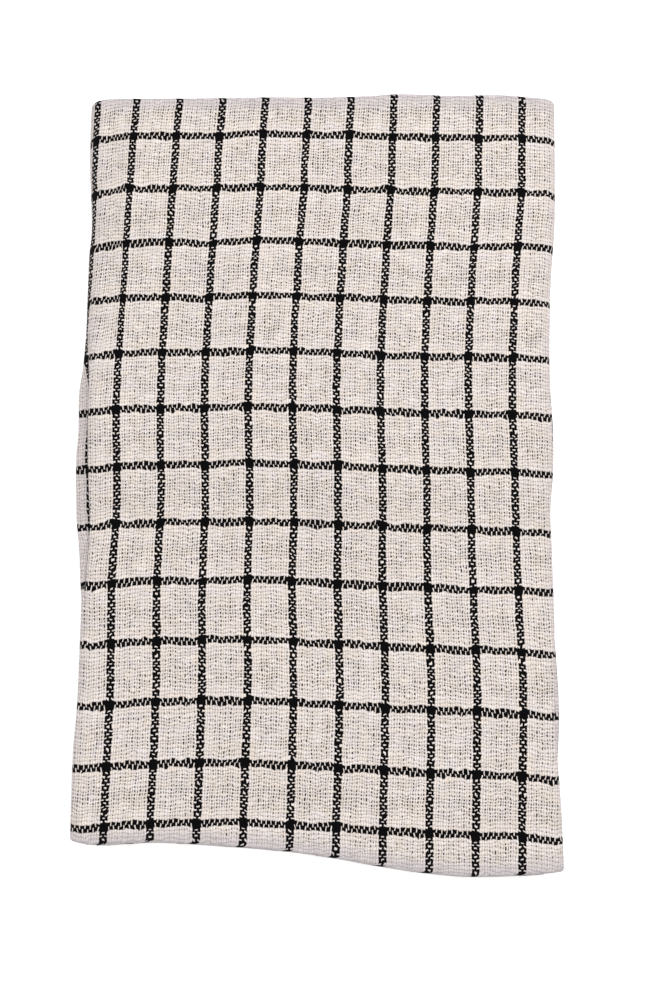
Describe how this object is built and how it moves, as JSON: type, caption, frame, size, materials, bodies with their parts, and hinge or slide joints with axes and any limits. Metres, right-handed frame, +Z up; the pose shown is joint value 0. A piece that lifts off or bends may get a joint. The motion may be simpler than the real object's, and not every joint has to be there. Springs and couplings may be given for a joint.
{
  "type": "folded tea towel",
  "caption": "Soft open-weave tea towel with a fine dark check on pale cloth, folded in both directions into a flat oblong pile with rounded folds on its long and short sides.",
  "frame": {"origin": "under the middle of the pile, on the surface that it rests on", "axes": "+X runs across the pile, with the large wrapping fold on the -X side; +Y runs along it to the head, where the short end is tucked in; +Z is up, out of the face"},
  "size_m": [0.1766, 0.2898, 0.013],
  "materials": {
    "cloth": "matt open plain weave, off-white with a fine black check"
  },
  "bodies": {
    "root": {"towel": "cloth"}
  },
  "joints": []
}
